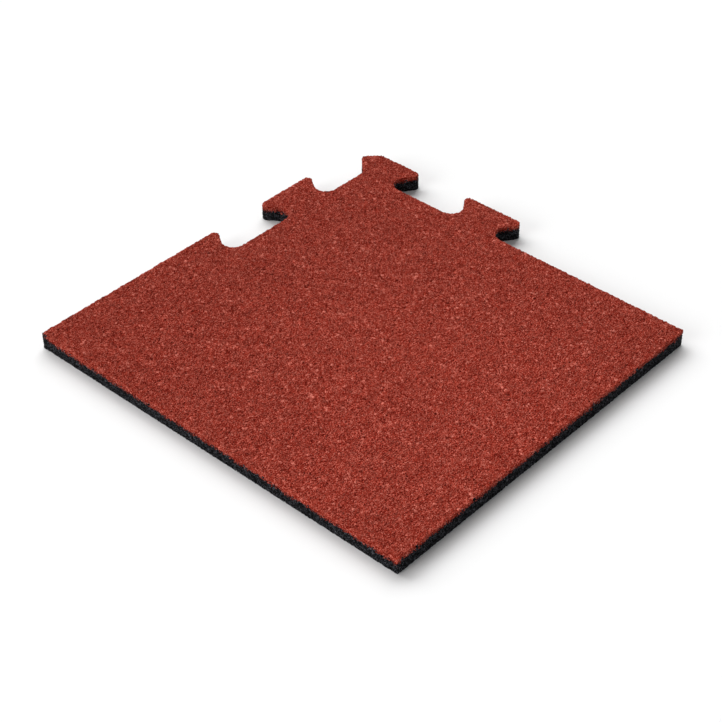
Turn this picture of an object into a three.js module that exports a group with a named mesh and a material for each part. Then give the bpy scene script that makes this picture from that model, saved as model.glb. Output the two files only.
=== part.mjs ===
// Interlocking rubber floor tile, the corner piece of a floor laid from such tiles.
// Rubber granules are pressed into one sheet of two layers: a black base layer and a red wear layer on it.
// Two edges are straight. Near the corner between the other two, one edge has dovetail gaps cut into it and
// the other has dovetail tabs standing out of it, so each takes its neighbour in the floor.
// Millimetres, +Z up. The origin is on the underside, in the middle of the square that the tile fills.
import * as THREE from "three";

// Driving dimensions
const TILE_SIZE = 500; // each way, over the tabs
const BASE_THICKNESS = 13.5; // black layer
const WEAR_THICKNESS = 6.5; // red layer
const OUTER_RADIUS = 2; // upright corners at the ends of the straight edges

// Connectors, alike for tabs and gaps
const TAB_DEPTH = 43; // root line to tip line
const HEAD_WIDTH = 80; // widest, over the rounded tips
const FLANK_ANGLE = THREE.MathUtils.degToRad(36); // lean of a flank from the way the tab points
const PITCH = 152.4; // from one tab to the next
const ROOT_RADIUS = 14;
const TIP_RADIUS = 6;
const CORNER_SETBACK = 14.2; // corner tab's centre line, short of the corner of the two root lines
const CORNER_CHAMFER = 35; // cut off the corner tab along each side of the tile's square
const ARC_SEGMENTS = 6; // for each rounded corner, doubled by the shape

// Lines that the outline runs between, measured from the corner of the two straight edges
const rootLine = TILE_SIZE - TAB_DEPTH;
const cornerTabCentre = rootLine - CORNER_SETBACK;
const firstTabCentre = cornerTabCentre - PITCH;

// A flank meets the root line and the tip line at the same sharp angle. These are the half widths there
// before the corners are rounded. Rounding a tip draws it in from its sharp corner by tipLoss.
const flankCorner = Math.PI / 2 - FLANK_ANGLE;
const tipLoss = TIP_RADIUS / Math.tan(flankCorner / 2) - TIP_RADIUS;
const tipHalf = HEAD_WIDTH / 2 + tipLoss;
const rootHalf = tipHalf - TAB_DEPTH * Math.tan(FLANK_ANGLE);

// Corners of one tab, in order along its edge: how far along, how far across the tile, and the rounding.
function tabCorners(centre) {
  return [
    { along: centre - rootHalf, across: rootLine, radius: ROOT_RADIUS },
    { along: centre - tipHalf, across: TILE_SIZE, radius: TIP_RADIUS },
    { along: centre + tipHalf, across: TILE_SIZE, radius: TIP_RADIUS },
    { along: centre + rootHalf, across: rootLine, radius: ROOT_RADIUS },
  ];
}

// The tabs stand on the right edge, where x is across and y is along. The gaps are cut between the tabs of
// the back edge, where it is the other way round, half a pitch along from the right edge's tabs.
const onRightEdge = ({ along, across, radius }) => ({ x: across, y: along, radius });
const onBackEdge = ({ along, across, radius }) => ({ x: along, y: across, radius });

// Sharp corners of the whole outline, counter-clockwise from the corner of the two straight edges.
function outlineCorners() {
  const chamferTop = TILE_SIZE - CORNER_CHAMFER;
  const apex = TILE_SIZE - CORNER_CHAMFER / 2;
  const firstTab = tabCorners(firstTabCentre).map(onRightEdge);
  const cornerTab = tabCorners(cornerTabCentre).map(onRightEdge);
  const backTab = tabCorners(firstTabCentre + PITCH / 2).map(onBackEdge);
  const backEdgeEnd = tabCorners(firstTabCentre - PITCH / 2).map(onBackEdge);
  return [
    { x: 0, y: 0, radius: OUTER_RADIUS },
    { x: rootLine, y: 0, radius: OUTER_RADIUS },
    ...firstTab,
    ...cornerTab.slice(0, 2),
    { x: TILE_SIZE, y: chamferTop, radius: TIP_RADIUS },
    { x: apex, y: apex, radius: TIP_RADIUS },
    { x: rootLine, y: rootLine, radius: ROOT_RADIUS },
    ...backTab.reverse(),
    ...backEdgeEnd.slice(2).reverse(),
    { x: 0, y: TILE_SIZE, radius: OUTER_RADIUS },
  ];
}

// Closed shape through the corners, each rounded by an arc that is tangent to both of its sides.
function roundedShape(corners) {
  const shape = new THREE.Shape();
  corners.forEach(({ x, y, radius }, i) => {
    const corner = new THREE.Vector2(x, y);
    const before = corners.at(i - 1);
    const after = corners[(i + 1) % corners.length];
    const back = new THREE.Vector2(before.x, before.y).sub(corner).normalize();
    const ahead = new THREE.Vector2(after.x, after.y).sub(corner).normalize();
    const halfAngle = Math.acos(back.dot(ahead)) / 2;
    const centre = back.clone().add(ahead).setLength(radius / Math.sin(halfAngle)).add(corner);
    const start = back.multiplyScalar(radius / Math.tan(halfAngle)).add(corner).sub(centre);
    const end = ahead.multiplyScalar(radius / Math.tan(halfAngle)).add(corner).sub(centre);
    const clockwise = start.cross(end) < 0;
    shape.absarc(centre.x, centre.y, radius, start.angle(), end.angle(), clockwise);
  });
  shape.closePath();
  return shape;
}

const outline = roundedShape(outlineCorners());

// One layer of the tile, its underside at the height given.
function layer(name, bottom, height, material) {
  const geometry = new THREE.ExtrudeGeometry(outline, {
    depth: height,
    bevelEnabled: false,
    curveSegments: ARC_SEGMENTS,
  });
  const mesh = new THREE.Mesh(geometry, material);
  mesh.name = name;
  mesh.position.set(-TILE_SIZE / 2, -TILE_SIZE / 2, bottom);
  return mesh;
}

const blackRubber = new THREE.MeshStandardMaterial({
  color: new THREE.Color().setRGB(0.105, 0.108, 0.115, THREE.SRGBColorSpace),
  roughness: 0.92,
  metalness: 0,
});
const redRubber = new THREE.MeshStandardMaterial({
  color: new THREE.Color().setRGB(0.58, 0.235, 0.19, THREE.SRGBColorSpace),
  roughness: 0.88,
  metalness: 0,
});

const tile = new THREE.Group();
tile.add(layer("base_layer", 0, BASE_THICKNESS, blackRubber));
tile.add(layer("wear_layer", BASE_THICKNESS, WEAR_THICKNESS, redRubber));

export default tile;
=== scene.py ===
import math

import bpy
import numpy as np
from mathutils import Euler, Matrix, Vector
from mathutils.geometry import delaunay_2d_cdt


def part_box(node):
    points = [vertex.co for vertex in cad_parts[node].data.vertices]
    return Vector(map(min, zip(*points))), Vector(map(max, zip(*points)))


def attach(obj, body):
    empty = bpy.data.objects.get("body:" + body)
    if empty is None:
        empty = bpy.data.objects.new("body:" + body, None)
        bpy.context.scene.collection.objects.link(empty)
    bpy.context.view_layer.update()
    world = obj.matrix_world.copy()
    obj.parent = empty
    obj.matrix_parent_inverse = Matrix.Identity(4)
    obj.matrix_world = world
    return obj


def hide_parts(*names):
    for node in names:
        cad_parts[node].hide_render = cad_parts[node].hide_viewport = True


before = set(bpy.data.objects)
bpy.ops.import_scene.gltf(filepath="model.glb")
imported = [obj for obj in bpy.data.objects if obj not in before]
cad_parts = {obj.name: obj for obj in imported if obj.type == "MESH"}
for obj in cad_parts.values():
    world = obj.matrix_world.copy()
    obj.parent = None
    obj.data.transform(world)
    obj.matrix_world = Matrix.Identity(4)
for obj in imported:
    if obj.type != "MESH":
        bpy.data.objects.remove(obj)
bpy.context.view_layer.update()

MM = 0.001
SEED = 41
rng = np.random.default_rng(SEED)

# Heights of the tile's faces, from the frame
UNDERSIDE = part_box("base_layer")[0].z
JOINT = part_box("base_layer")[1].z
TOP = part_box("wear_layer")[1].z

# Granules
EDGE_STEP = 1.6 * MM  # along the outline
TOP_PITCH = 3.0 * MM  # from granule to granule on the walking surface
SIDE_PITCH = 2.7 * MM
UNDERSIDE_PITCH = 3.9 * MM
INNER_STEP = 24 * MM  # on the hidden face between the layers
JITTER = 0.34  # of the pitch
FACE_MARGIN = 0.62  # of the pitch, left free along the rim of a flat face
SIDE_MARGIN = 0.42  # of the pitch, left free along the rim of a side
SEAM_POINTS = 2  # inside the seam where the two ends of a side meet
PALE_AND_GLINT_SHARE = 0.03  # of the granules, which are pale: partly pale granules, partly painted glints
PALE_AND_GLINT_GAIN = 3.0  # added to their tone
BATCH = 2000  # points measured at a time, to spare memory

# Depths under the face that the granules were pressed to
CROWN_DROP = (0.0, 0.3 * MM)
CREVICE_DROP = (0.4 * MM, 1.1 * MM)
PIT_DROP = (1.2 * MM, 2.2 * MM)  # where a granule has come away
PIT_SHARE = 0.035
SEAM_DROP = 0.3 * MM

# Edges, which crumble back from the CAD outline
TOP_INSET = (0.2 * MM, 1.2 * MM)
TOP_DROP = (0.25 * MM, 1.3 * MM)
FOOT_INSET = (0.05 * MM, 0.7 * MM)
FOOT_DROP = (0.0, 0.4 * MM)
CHIP_SHARE = 0.012  # of the points along the lower edge
CHIP_DROP = (1.2 * MM, 2.4 * MM)
JOINT_INSET = (0.35 * MM, 0.95 * MM)

# Painted shade at the points of the edges, from 0 to 1, as far as they are hidden
TOP_PAINTED_SHADE = 0.35
JOINT_PAINTED_SHADE = 0.5
FOOT_PAINTED_SHADE = 0.5
SEAM_PAINTED_SHADE = 0.3

TOP_RIM_SIDE = 0.5  # the upper edge counts as half on the side, and takes half of the sides' gain, which is partly painted light
HIDDEN_TONE = 0.5  # of the faces that are bonded to each other

# The line between red and black on the sides
JOINT_WANDER = 1.1 * MM
SLOW_WANDER = (0.5, 9)  # share of it, and points of the outline from knot to knot
QUICK_WANDER = (0.6, 3)
FRONT_RISE = 1.3 * MM  # along the front straight edge
LEFT_FALL = 0.5 * MM  # along the left straight edge
CORNER_RISE = 5.2 * MM  # black granules nearly reach the top at the left corner
CORNER_REACH = 7 * MM
LEAST_WEAR = 0.6 * MM  # of the red layer that is left under its upper edge

# Granules and crumbs of one layer in the other
STRAY_REACH = 3.0 * MM  # how far from the line granules turn up
STRAY_SHARE = 0.2  # of the granules, right at the line
MIX_REACH = 2.4 * MM  # how far from the line crumbs turn up
MIX_SHARE = 0.5  # of the crumbs, right at the line
CORNER_MIX = 2.6  # added to the mix on the red edge at the left corner, which blackens it


# Outline of the tile, read from the frame

def outline_of(node, height):
    """The closed outline of a node's flat face at this height, counter-clockwise."""
    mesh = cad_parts[node].data
    points = [tuple(round(c, 6) for c in v.co) for v in mesh.vertices]
    edges = {}
    for face in mesh.polygons:
        corners = [points[i] for i in face.vertices]
        if all(abs(c[2] - height) < 1e-5 for c in corners):
            for a, b in zip(corners, corners[1:] + corners[:1]):
                if (b, a) in edges:
                    del edges[b, a]
                else:
                    edges[a, b] = True
    ahead = {a: b for a, b in edges}
    start = at = next(iter(ahead))
    loop = []
    while not loop or at != start:
        loop.append(at[:2])
        at = ahead[at]
    return np.array(loop)


def closed(ring):
    """A ring of points or numbers, with its first one again at the end."""
    return np.concatenate([ring, ring[:1]])


def resampled(ring, step):
    """Evenly spaced points along a closed ring, the unit vectors that point out of it, and its length."""
    whole = closed(ring)
    along = np.r_[0, np.cumsum(np.linalg.norm(np.diff(whole, axis=0), axis=1))]
    count = round(along[-1] / step)
    at = np.arange(count) * along[-1] / count
    points = np.column_stack([np.interp(at, along, whole[:, i]) for i in (0, 1)])
    tangent = np.roll(points, -1, axis=0) - np.roll(points, 1, axis=0)
    out = np.column_stack([tangent[:, 1], -tangent[:, 0]])
    return points, out / np.linalg.norm(out, axis=1)[:, None], along[-1]


loop, loop_out, PERIMETER = resampled(outline_of("wear_layer", TOP), EDGE_STEP)
LOOP_COUNT = len(loop)
ALONG = np.arange(LOOP_COUNT + 1) * PERIMETER / LOOP_COUNT  # of each point, and of the first one again


# Granules: a scatter of crowns, with a crevice wherever three of them meet

def scatter(low, high, pitch):
    """Points of a shaken triangular lattice over a rectangle."""
    row = pitch * math.sqrt(3) / 2
    rows = np.arange(low[1], high[1] + row, row)
    columns = np.arange(low[0], high[0] + pitch, pitch)
    x, y = np.meshgrid(columns, rows)
    x[1::2] += pitch / 2
    points = np.column_stack([x.ravel(), y.ravel()])
    return points + rng.uniform(-JITTER, JITTER, points.shape) * pitch


def depth_inside(points):
    """How far each point lies inside the outline, below zero outside it."""
    depth = np.empty(len(points))
    for first in range(0, len(points), BATCH):
        part = points[first:first + BATCH]
        apart = ((part[:, None, :] - loop[None, :, :]) ** 2).sum(2)
        near = apart.argmin(1)
        side = ((loop[near] - part) * loop_out[near]).sum(1)
        depth[first:first + BATCH] = np.sign(side) * np.sqrt(apart[np.arange(len(part)), near])
    return depth


def scatter_inside(pitch, margin):
    """Points scattered over the tile, at least this far inside its outline."""
    points = scatter(loop.min(0), loop.max(0), pitch)
    return points[depth_inside(points) > margin]


def encloses(rim, points):
    """Whether each point lies inside the closed rim, by counting the crossings to its right."""
    after = np.roll(rim, -1, axis=0)
    inside = np.zeros(len(points), bool)
    for (x1, y1), (x2, y2) in zip(rim, after):
        if y1 != y2:
            between = (points[:, 1] < y1) != (points[:, 1] < y2)
            crossing = x1 + (points[:, 1] - y1) * (x2 - x1) / (y2 - y1)
            inside ^= between & (points[:, 0] < crossing)
    return inside


INSIDE_RIM = 1  # the kind of result that is asked of delaunay_2d_cdt
SAME_POINT = 1e-9


def triangulated(points, rim_count):
    """Triangles between the points, inside the rim that the first of them make.

    Blender gives those outside a hollow rim too, so they are left out here.
    """
    rim = [(i, (i + 1) % rim_count) for i in range(rim_count)]
    found = delaunay_2d_cdt([Vector(p) for p in points], rim, [], INSIDE_RIM, SAME_POINT, True)
    given = np.array([ids[0] for ids in found[3]])
    triangles = given[np.array(found[2])]
    on_rim = (triangles < rim_count).all(1)
    along = (np.roll(triangles, -1, axis=1) - triangles) % rim_count
    forwards = on_rim & (along == 1).any(1)
    backwards = on_rim & (along == rim_count - 1).any(1)
    unsure = np.flatnonzero(on_rim & ~forwards & ~backwards)
    kept = ~backwards
    kept[unsure] = encloses(points[:rim_count], points[triangles[unsure]].mean(1))
    return triangles[kept]


def granules(rim, crowns):
    """Flat net over the rim's inside: points, triangles, and where crowns and crevices begin."""
    first = triangulated(np.vstack([rim, crowns]), len(rim))
    inner = first[(first >= len(rim)).sum(1) >= 2]
    crevices = np.vstack([rim, crowns])[inner].mean(1)
    points = np.vstack([rim, crowns, crevices])
    return points, triangulated(points, len(rim)), len(rim), len(rim) + len(crowns)


def relief(count, crowns_from, crevices_from):
    """For each point of a net its depth under the pressed face, and its painted shade from 0 to 1, which
    grows with the depth.
    """
    crowns = crevices_from - crowns_from
    depth = np.zeros(count)
    depth[crowns_from:crevices_from] = rng.uniform(*CROWN_DROP, crowns)
    depth[crevices_from:] = rng.uniform(*CREVICE_DROP, count - crevices_from)
    pits = crowns_from + np.flatnonzero(rng.random(crowns) < PIT_SHARE)
    depth[pits] = rng.uniform(*PIT_DROP, len(pits))
    # painted shade: the deeper a point lies, the darker it is painted
    hidden = np.clip(depth / CREVICE_DROP[1], 0, 1)
    return depth, hidden


def owners(triangles, crowns_from, crevices_from):
    """The granule of each triangle: its crown, or the first of its points where it has none."""
    is_crown = (triangles >= crowns_from) & (triangles < crevices_from)
    crown = np.where(is_crown, triangles, -1).max(1)
    return np.where(crown < 0, triangles.min(1), crown)


def tones_of(granule):
    """One random tone for all the triangles of a granule; the few pale ones are partly painted glints."""
    tone = rng.random(granule.max() + 1)
    tone[rng.random(len(tone)) < PALE_AND_GLINT_SHARE] += PALE_AND_GLINT_GAIN
    return tone[granule]


# Rings of points that the faces share, one point for each point of the outline

def wander(share, spacing):
    """Smooth closed random line, with a knot at every so many points of the outline."""
    knots = LOOP_COUNT // spacing
    heights = rng.uniform(-JOINT_WANDER * share, JOINT_WANDER * share, knots)
    at = np.arange(LOOP_COUNT) * knots / LOOP_COUNT
    return np.interp(at, np.arange(knots + 1), closed(heights))


def edge_ring(height, facing, inset, drop):
    """The crumbled edge of a face that looks up (1) or down (-1)."""
    flat = loop - loop_out * rng.uniform(*inset, (LOOP_COUNT, 1))
    return np.column_stack([flat, height - facing * rng.uniform(*drop, LOOP_COUNT)])


top_rim = edge_ring(TOP, 1, TOP_INSET, TOP_DROP)
bottom_rim = edge_ring(UNDERSIDE, -1, FOOT_INSET, FOOT_DROP)
chips = np.flatnonzero(rng.random(LOOP_COUNT) < CHIP_SHARE)
bottom_rim[chips, 2] = UNDERSIDE + rng.uniform(*CHIP_DROP, len(chips))

left_corner = np.array([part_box("wear_layer")[0].x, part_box("wear_layer")[1].y])
to_left_corner = np.linalg.norm(loop - left_corner, axis=1)
near_left_corner = np.exp(-(to_left_corner / CORNER_REACH) ** 2)
faces_front = np.clip(-loop_out[:, 1], 0, 1)
faces_left = np.clip(-loop_out[:, 0], 0, 1)
joint_line = JOINT + wander(*SLOW_WANDER) + wander(*QUICK_WANDER)
joint_line += CORNER_RISE * near_left_corner
joint_line += FRONT_RISE * faces_front - LEFT_FALL * faces_left
joint_line = np.minimum(joint_line, top_rim[:, 2] - LEAST_WEAR)
joint_flat = loop - loop_out * rng.uniform(*JOINT_INSET, (LOOP_COUNT, 1))
joint_rim = np.column_stack([joint_flat, joint_line])
joint_inner = scatter_inside(INNER_STEP, INNER_STEP / 2)


# The faces of a layer

class Net:
    """A growing mesh. Each point has its painted shade, whether it is on a side, and how mixed it is.

    Each triangle has the tone of its granule, and whether that is a stray of the other layer.
    """

    def __init__(self):
        self.points, self.hidden, self.side, self.mix = [], [], [], []
        self.triangles, self.tones, self.strays = [], [], []
        self.count = 0

    def add_points(self, points, hidden, side, mix=0.0):
        """Add the points, and give the numbers that they have in the mesh."""
        self.points.append(points)
        self.hidden.append(np.broadcast_to(hidden, len(points)))
        self.side.append(np.full(len(points), float(side)))
        self.mix.append(np.broadcast_to(mix, len(points)))
        self.count += len(points)
        return np.arange(self.count - len(points), self.count)

    def add_triangles(self, triangles, tones, strays=0.0):
        self.triangles.append(triangles)
        self.tones.append(tones)
        self.strays.append(np.broadcast_to(strays, len(triangles)))


def add_face(net, rim_ids, height, facing, pitch):
    """A granular flat face over the whole tile, up (1) or down (-1), from the ring at its rim."""
    crowns = scatter_inside(pitch, FACE_MARGIN * pitch)
    points, triangles, crowns_from, crevices_from = granules(loop, crowns)
    depth, hidden = relief(len(points), crowns_from, crevices_from)
    inner = np.column_stack([points, height - facing * depth])[crowns_from:]
    ids = np.r_[rim_ids, net.add_points(inner, hidden[crowns_from:], 0)]
    tones = tones_of(owners(triangles, crowns_from, crevices_from))
    net.add_triangles(ids[triangles][:, ::facing], tones)


def add_joint(net, rim_ids, facing):
    """The hidden face where the two layers are bonded."""
    points = np.vstack([joint_rim[:, :2], joint_inner])
    inner = np.column_stack([joint_inner, np.full(len(joint_inner), JOINT)])
    ids = np.r_[rim_ids, net.add_points(inner, JOINT_PAINTED_SHADE, 0)]
    triangles = triangulated(points, LOOP_COUNT)
    net.add_triangles(ids[triangles][:, ::facing], np.full(len(triangles), HIDDEN_TONE))


# A side is laid out flat, as far along the outline and as high, and then set round the tile

def side_rim(upper, lower, seam_z):
    """Rim of a flat side: the lower edge, the seam, the upper edge back, and the seam again."""
    lower_edge = np.column_stack([ALONG, closed(lower[:, 2])])
    upper_edge = np.column_stack([ALONG, closed(upper[:, 2])])
    right = np.column_stack([np.full(SEAM_POINTS, PERIMETER), seam_z])
    left = np.column_stack([np.zeros(SEAM_POINTS), seam_z])
    return np.vstack([lower_edge, right, upper_edge[::-1], left[::-1]])


def side_crowns(upper, lower):
    """Crowns of a flat side, clear of its rim."""
    crowns = scatter((0, lower[:, 2].min()), (PERIMETER, upper[:, 2].max()), SIDE_PITCH)
    clear = SIDE_MARGIN * SIDE_PITCH
    along, height = crowns.T
    keep = height > np.interp(along, ALONG, closed(lower[:, 2])) + clear
    keep &= height < np.interp(along, ALONG, closed(upper[:, 2])) - clear
    keep &= (along > clear) & (along < PERIMETER - clear)
    return crowns[keep]


def set_round(flat, depth):
    """Points of a flat side set round the tile, this deep in it."""
    at = flat[:, 0] / PERIMETER * LOOP_COUNT
    steps = np.arange(LOOP_COUNT + 1)
    place = np.column_stack([np.interp(at, steps, c) for c in closed(loop).T])
    out = np.column_stack([np.interp(at, steps, c) for c in closed(loop_out).T])
    return np.column_stack([place - out * depth[:, None], flat[:, 1]])


def near_joint(flat, reach):
    """1 for points of a flat side that are on the line between the layers, 0 this far from it."""
    apart = np.abs(flat[:, 1] - np.interp(flat[:, 0], ALONG, closed(joint_line)))
    return np.clip(1 - apart / reach, 0, 1)


def add_side(net, upper_ids, lower_ids, upper, lower):
    """The granular side of a layer all the way round, between two rings of points."""
    share = np.arange(1, SEAM_POINTS + 1) / (SEAM_POINTS + 1)
    seam_z = lower[0, 2] + (upper[0, 2] - lower[0, 2]) * share
    rim = side_rim(upper, lower, seam_z)
    points, triangles, crowns_from, crevices_from = granules(rim, side_crowns(upper, lower))
    depth, hidden = relief(len(points), crowns_from, crevices_from)
    inner = set_round(points[crowns_from:], depth[crowns_from:])
    mix = near_joint(points[crowns_from:], MIX_REACH)
    inner_ids = net.add_points(inner, hidden[crowns_from:], 1, mix)
    seam = np.tile(loop[0] - loop_out[0] * SEAM_DROP, (SEAM_POINTS, 1))
    seam_ids = net.add_points(np.column_stack([seam, seam_z]), SEAM_PAINTED_SHADE, 1)
    ids = np.r_[closed(lower_ids), seam_ids, closed(upper_ids)[::-1], seam_ids[::-1], inner_ids]
    stray = rng.random(len(points)) < STRAY_SHARE * near_joint(points, STRAY_REACH)
    stray[:crowns_from] = False
    granule = owners(triangles, crowns_from, crevices_from)
    net.add_triangles(ids[triangles], tones_of(granule), stray[granule].astype(float))


def built(net, name, node, material):
    """The piece that stands for a CAD node, from its net."""
    mesh = bpy.data.meshes.new(name)
    mesh.from_pydata(np.vstack(net.points).tolist(), [], np.vstack(net.triangles).tolist())
    for key, domain, values in (
        ("hidden", "POINT", net.hidden),
        ("side", "POINT", net.side),
        ("mix", "POINT", net.mix),
        ("tone", "FACE", net.tones),
        ("stray", "FACE", net.strays),
    ):
        mesh.attributes.new(key, "FLOAT", domain).data.foreach_set("value", np.concatenate(values))
    mesh.materials.append(material)
    mesh.update()
    piece = bpy.data.objects.new(name, mesh)
    bpy.context.scene.collection.objects.link(piece)
    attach(piece, "root")
    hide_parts(node)
    return piece


# Shader nodes

def new_material(name):
    material = bpy.data.materials.new(name)
    material.use_nodes = True
    return material, material.node_tree, material.node_tree.nodes["Principled BSDF"]


def add_node(tree, kind, **settings):
    node = tree.nodes.new(kind)
    for key, value in settings.items():
        setattr(node, key, value)
    return node


def attribute(tree, name):
    return add_node(tree, "ShaderNodeAttribute", attribute_name=name).outputs["Fac"]


def calculate(tree, operation, *values):
    node = add_node(tree, "ShaderNodeMath", operation=operation)
    for socket, value in zip(node.inputs, values):
        if isinstance(value, (int, float)):
            socket.default_value = value
        else:
            tree.links.new(value, socket)
    return node.outputs[0]


def ramp(tree, value, stops):
    """A colour for each value between the stops, which are (position, linear red, green, blue)."""
    node = add_node(tree, "ShaderNodeValToRGB")
    while len(node.color_ramp.elements) < len(stops):
        node.color_ramp.elements.new(1)
    for element, (position, *colour) in zip(node.color_ramp.elements, stops):
        element.position = position
        element.color = (*colour, 1)
    tree.links.new(value, node.inputs["Fac"])
    return node.outputs["Color"]


def cells(tree, where, size):
    """Random value and distance from the middle, for crumbs of this size."""
    node = add_node(tree, "ShaderNodeTexVoronoi", voronoi_dimensions="3D", feature="F1")
    node.inputs["Scale"].default_value = 1 / size
    tree.links.new(where, node.inputs["Vector"])
    split = add_node(tree, "ShaderNodeSeparateColor")
    tree.links.new(node.outputs["Color"], split.inputs["Color"])
    return split.outputs["Red"], node.outputs["Distance"]


def noise(tree, where, size, detail, seed=0):
    node = add_node(tree, "ShaderNodeTexNoise", noise_dimensions="4D")
    node.inputs["W"].default_value = seed
    node.inputs["Scale"].default_value = 1 / size
    node.inputs["Detail"].default_value = detail
    tree.links.new(where, node.inputs["Vector"])
    return node.outputs["Fac"]


def scaled(tree, colour, value):
    """The colour times a value."""
    node = add_node(tree, "ShaderNodeVectorMath", operation="SCALE")
    tree.links.new(colour, node.inputs[0])
    tree.links.new(value, node.inputs["Scale"])
    return node.outputs["Vector"]


def mixed(tree, share, first, second):
    """The second colour where the share is 1, the first where it is 0."""
    node = add_node(tree, "ShaderNodeMix", data_type="RGBA")
    tree.links.new(share, node.inputs["Factor"])
    tree.links.new(first, node.inputs["A"])
    tree.links.new(second, node.inputs["B"])
    return node.outputs["Result"]


# Bonded rubber granules

CRUMB = 0.8 * MM
FLECK = 0.5 * MM
MIXED_CRUMB = 1.2 * MM
GRIT = 0.8 * MM
GRANULE_WEIGHT = 0.08  # in the tone. The flecks have what is left of it.
CRUMB_WEIGHT = 0.62
CREVICE_PAINTED_SHADE = 0.10  # painted shade: taken off the tone, down in a crevice
PATCH = 9 * MM
PATCH_GAIN = 0.68
CLOUD = 60 * MM
CLOUD_GAIN = 0.2
# Painted light falloff: broad lighter and darker regions over the tile, standing for light that falls
# stronger on some parts than on others
PAINTED_FALLOFF = 300 * MM
PAINTED_FALLOFF_SEED = 65  # makes the same regions lighter as in the photograph
PAINTED_FALLOFF_GAIN = 0.29
PAINTED_FALLOFF_BASE = 0.80
LEAST_ROUGHNESS = 0.76
ROUGHNESS_SPREAD = 0.16
BUMP_STRENGTH = 0.3
BUMP_HEIGHT = 0.5 * MM
GRIT_WEIGHT = 0.5  # in the bump, beside the crumbs
# The lightest stop, which the pale granules take, is partly painted glint
RED_STOPS = [
    (0.08, 0.079, 0.0009, 0.0003),
    (0.31, 0.192, 0.0112, 0.0049),
    (0.47, 0.272, 0.0294, 0.0158),
    (0.632, 0.353, 0.0565, 0.0364),
    (0.87, 0.660, 0.1930, 0.1450),
]
# Red sides lighter than the top: partly fresher cut granules, partly painted light
RED_SIDE_TONE_AND_LIGHT = 1.14
RED_SPECULAR = 0.03
# The lightest, grey-blue stop is partly painted glints on the black granules
BLACK_STOPS = [
    (0.34, 0.0001, 0.0001, 0.0002),
    (0.50, 0.0008, 0.0009, 0.0014),
    (0.60, 0.0050, 0.0054, 0.0072),
    (0.74, 0.0950, 0.0980, 0.1120),
]
# Black sides a little darker than the faces: painted shade
BLACK_SIDE_PAINTED_SHADE = 0.94
BLACK_SPECULAR = 0.08


def tone_at(tree, where, crumb):
    """Tone of the granule, its crumbs and their flecks, with painted shade down in the crevices."""
    fleck, _ = cells(tree, where, FLECK)
    tone = calculate(tree, "MULTIPLY", attribute(tree, "tone"), GRANULE_WEIGHT)
    tone = calculate(tree, "MULTIPLY_ADD", crumb, CRUMB_WEIGHT, tone)
    tone = calculate(tree, "MULTIPLY_ADD", fleck, 1 - GRANULE_WEIGHT - CRUMB_WEIGHT, tone)
    return calculate(tree, "MULTIPLY_ADD", attribute(tree, "hidden"), -CREVICE_PAINTED_SHADE, tone)


def stray_at(tree, where):
    """1 on granules and crumbs of the other layer, 0 elsewhere."""
    crumb, _ = cells(tree, where, MIXED_CRUMB)
    share = calculate(tree, "MULTIPLY", attribute(tree, "mix"), MIX_SHARE)
    stray_crumb = calculate(tree, "LESS_THAN", crumb, share)
    return calculate(tree, "MAXIMUM", stray_crumb, attribute(tree, "stray"))


def shade_at(tree, where, side_tone_and_light):
    """Slow random changes of tone over the tile in two sizes, a broad painted light falloff, and a gain
    for the sides that is partly painted light.
    """
    cloud = noise(tree, where, CLOUD, 3)
    patch = noise(tree, where, PATCH, 1)
    # painted light falloff
    painted_falloff = noise(tree, where, PAINTED_FALLOFF, 0, PAINTED_FALLOFF_SEED)
    shade = calculate(tree, "MULTIPLY_ADD", cloud, CLOUD_GAIN, 1 - CLOUD_GAIN / 2)
    patch_shade = calculate(tree, "MULTIPLY_ADD", patch, PATCH_GAIN, 1 - PATCH_GAIN / 2)
    shade = calculate(tree, "MULTIPLY", shade, patch_shade)
    painted_falloff_shade = calculate(tree, "MULTIPLY_ADD", painted_falloff, PAINTED_FALLOFF_GAIN, PAINTED_FALLOFF_BASE)
    shade = calculate(tree, "MULTIPLY", shade, painted_falloff_shade)
    # gain for the sides: partly painted light on the red, painted shade on the black
    side_shade = calculate(tree, "MULTIPLY_ADD", attribute(tree, "side"), side_tone_and_light - 1, 1.0)
    return calculate(tree, "MULTIPLY", shade, side_shade)


def add_bump(tree, where, crumb_distance, shader):
    """Fine grit on rounded crumbs."""
    grit = noise(tree, where, GRIT, 2)
    grain = calculate(tree, "MULTIPLY_ADD", grit, GRIT_WEIGHT, crumb_distance)
    bump = add_node(tree, "ShaderNodeBump")
    bump.inputs["Strength"].default_value = BUMP_STRENGTH
    bump.inputs["Distance"].default_value = BUMP_HEIGHT
    tree.links.new(grain, bump.inputs["Height"])
    tree.links.new(bump.outputs["Normal"], shader.inputs["Normal"])


def granulate(name, stops, stray_stops, side_tone_and_light, specular):
    """Matt rubber granules in the colours of a layer, with those of the other one where they stray."""
    material, tree, shader = new_material(name)
    where = add_node(tree, "ShaderNodeTexCoord").outputs["Object"]
    crumb, crumb_distance = cells(tree, where, CRUMB)
    tone = tone_at(tree, where, crumb)
    colour = mixed(tree, stray_at(tree, where), ramp(tree, tone, stops), ramp(tree, tone, stray_stops))
    shade = shade_at(tree, where, side_tone_and_light)
    tree.links.new(scaled(tree, colour, shade), shader.inputs["Base Color"])
    rough = calculate(tree, "MULTIPLY_ADD", crumb, ROUGHNESS_SPREAD, LEAST_ROUGHNESS)
    tree.links.new(rough, shader.inputs["Roughness"])
    shader.inputs["Specular IOR Level"].default_value = specular
    add_bump(tree, where, crumb_distance, shader)
    return material


red = granulate("red_granulate", RED_STOPS, BLACK_STOPS, RED_SIDE_TONE_AND_LIGHT, RED_SPECULAR)
black = granulate("black_granulate", BLACK_STOPS, RED_STOPS, BLACK_SIDE_PAINTED_SHADE, BLACK_SPECULAR)


# The two layers

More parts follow.
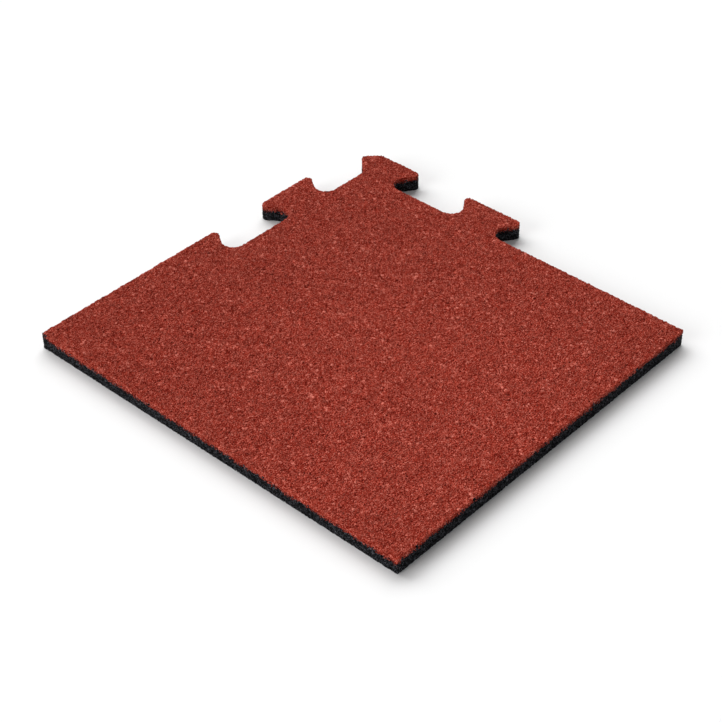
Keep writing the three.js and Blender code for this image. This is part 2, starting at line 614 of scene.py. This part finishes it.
corner_mix = CORNER_MIX * near_left_corner
wear = Net()
top_ids = wear.add_points(top_rim, TOP_PAINTED_SHADE, TOP_RIM_SIDE, corner_mix)
wear_joint_ids = wear.add_points(joint_rim, JOINT_PAINTED_SHADE, 1, 1 + corner_mix)
add_face(wear, top_ids, TOP, 1, TOP_PITCH)
add_side(wear, top_ids, wear_joint_ids, top_rim, joint_rim)
add_joint(wear, wear_joint_ids, -1)
built(wear, "wear_surface", "wear_layer", red)

base = Net()
base_joint_ids = base.add_points(joint_rim, JOINT_PAINTED_SHADE, 1, 1)
bottom_ids = base.add_points(bottom_rim, FOOT_PAINTED_SHADE, 1)
add_side(base, base_joint_ids, bottom_ids, joint_rim, bottom_rim)
add_face(base, bottom_ids, UNDERSIDE, -1, UNDERSIDE_PITCH)
add_joint(base, base_joint_ids, 1)
built(base, "base_granules", "base_layer", black)


# Floor, light and camera

FLOOR_SIZE = 12
FLOOR_WHITE = (0.9, 0.9, 0.9, 1)
HORIZON_TOP = 0.05  # sine of the elevation up to which the studio is white
OVERHEAD_FROM = 0.22  # and from which it is as dim as overhead
OVERHEAD = 0.22
CAMERA_LENS = 89.57
CAMERA_PLACE = (-1.12523, -1.00370, 1.18076)
CAMERA_TURN = (51.162, 0.160, -47.774)  # degrees


def add_floor():
    bpy.ops.mesh.primitive_plane_add(size=FLOOR_SIZE, location=(0, 0, UNDERSIDE))
    floor = bpy.context.object
    floor.name = "floor"
    material, _, shader = new_material("floor_white")
    shader.inputs["Base Color"].default_value = FLOOR_WHITE
    shader.inputs["Roughness"].default_value = 1
    shader.inputs["Specular IOR Level"].default_value = 0
    floor.data.materials.append(material)


def add_world():
    """A studio that is white round the horizon and dimmer overhead."""
    world = bpy.data.worlds.new("studio")
    world.use_nodes = True
    tree = world.node_tree
    split = add_node(tree, "ShaderNodeSeparateXYZ")
    tree.links.new(add_node(tree, "ShaderNodeTexCoord").outputs["Generated"], split.inputs["Vector"])
    shades = [(HORIZON_TOP, 1, 1, 1), (OVERHEAD_FROM, OVERHEAD, OVERHEAD, OVERHEAD)]
    tree.links.new(ramp(tree, split.outputs["Z"], shades), tree.nodes["Background"].inputs["Color"])
    bpy.context.scene.world = world


def add_soft_sun(name, azimuth, elevation, spread, strength):
    """Light from a wide round patch of sky, its azimuth from +X towards +Y, all in degrees."""
    light = bpy.data.lights.new(name, "SUN")
    light.angle = math.radians(spread)
    light.energy = strength
    sun = bpy.data.objects.new(name, light)
    turn = math.radians(azimuth)
    rise = math.radians(elevation)
    level = math.cos(rise)
    towards = Vector((level * math.cos(turn), level * math.sin(turn), math.sin(rise)))
    sun.location = towards
    sun.rotation_euler = towards.to_track_quat("Z", "Y").to_euler()
    bpy.context.scene.collection.objects.link(sun)


def add_camera():
    """The camera that the photograph's straight edges give, for a frame as wide as it is high."""
    data = bpy.data.cameras.new("camera")
    data.lens = CAMERA_LENS
    data.sensor_width = 36
    data.clip_end = 50
    camera = bpy.data.objects.new("camera", data)
    camera.location = CAMERA_PLACE
    camera.rotation_euler = Euler([math.radians(a) for a in CAMERA_TURN])
    bpy.context.scene.collection.objects.link(camera)
    bpy.context.scene.camera = camera


add_floor()
add_world()
add_soft_sun("key_left", 88, 38, 44, 1.93)
add_soft_sun("key_right", 38, 42, 44, 1.78)
add_soft_sun("fill", 168, 21, 34, 1.35)
add_camera()
bpy.context.scene.view_settings.view_transform = "Standard"
